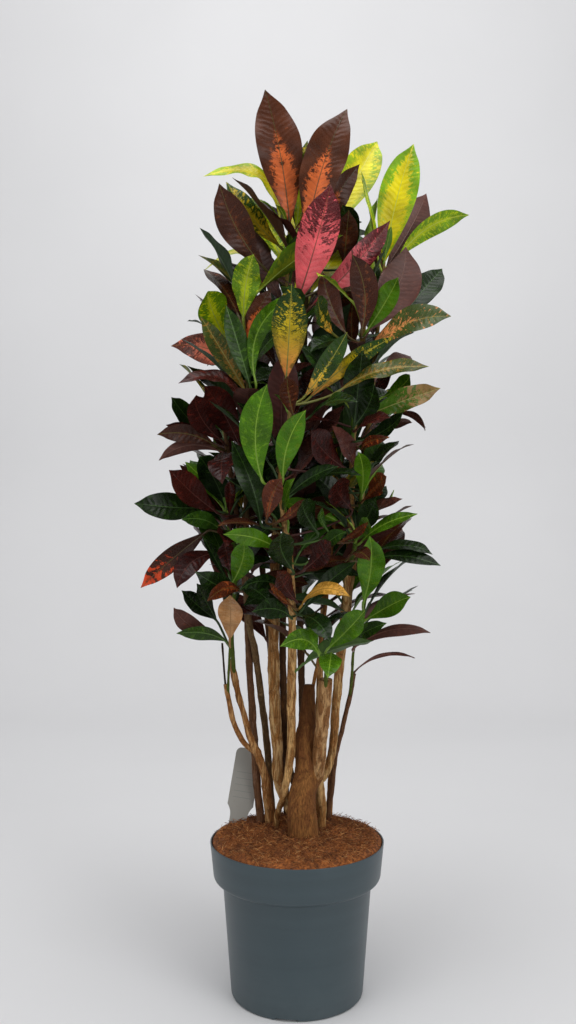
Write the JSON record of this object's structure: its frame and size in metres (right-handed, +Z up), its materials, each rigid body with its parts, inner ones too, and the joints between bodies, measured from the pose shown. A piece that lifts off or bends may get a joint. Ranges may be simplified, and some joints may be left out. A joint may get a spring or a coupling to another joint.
{
  "type": "potted croton",
  "caption": "Bushy croton with mixed green, yellow, pink and dark maroon leaves on bare woody stems, standing in a round nursery pot of coir with a blank plant label.",
  "frame": {"origin": "middle of the pot's underside, on the floor", "axes": "+Z up along the pot's axis, -Y towards the viewer of the picture, +X to the viewer's right"},
  "size_m": [0.474, 0.3806, 1.259],
  "materials": {
    "pot_plastic": "moulded slate blue-grey polypropylene, satin",
    "coir": "red-brown coconut coir, loose fibres, matte",
    "label_plastic": "thin pale grey-white polystyrene, satin",
    "croton": "glossy variegated leaves on grey-brown bark"
  },
  "bodies": {
    "root": {"pot": "pot_plastic", "soil": "coir", "plant_label": "label_plastic", "leafy_stem_trunk": "croton", "leafy_stem_left": "croton", "leafy_stem_mauve": "croton", "leafy_stem_grey": "croton", "leafy_stem_front": "croton", "leafy_stem_right": "croton", "leafy_stem_far_right": "croton", "leafy_stem_back": "croton", "leafy_stem_back_left": "croton", "leafy_stem_back_right": "croton"}
  },
  "joints": []
}
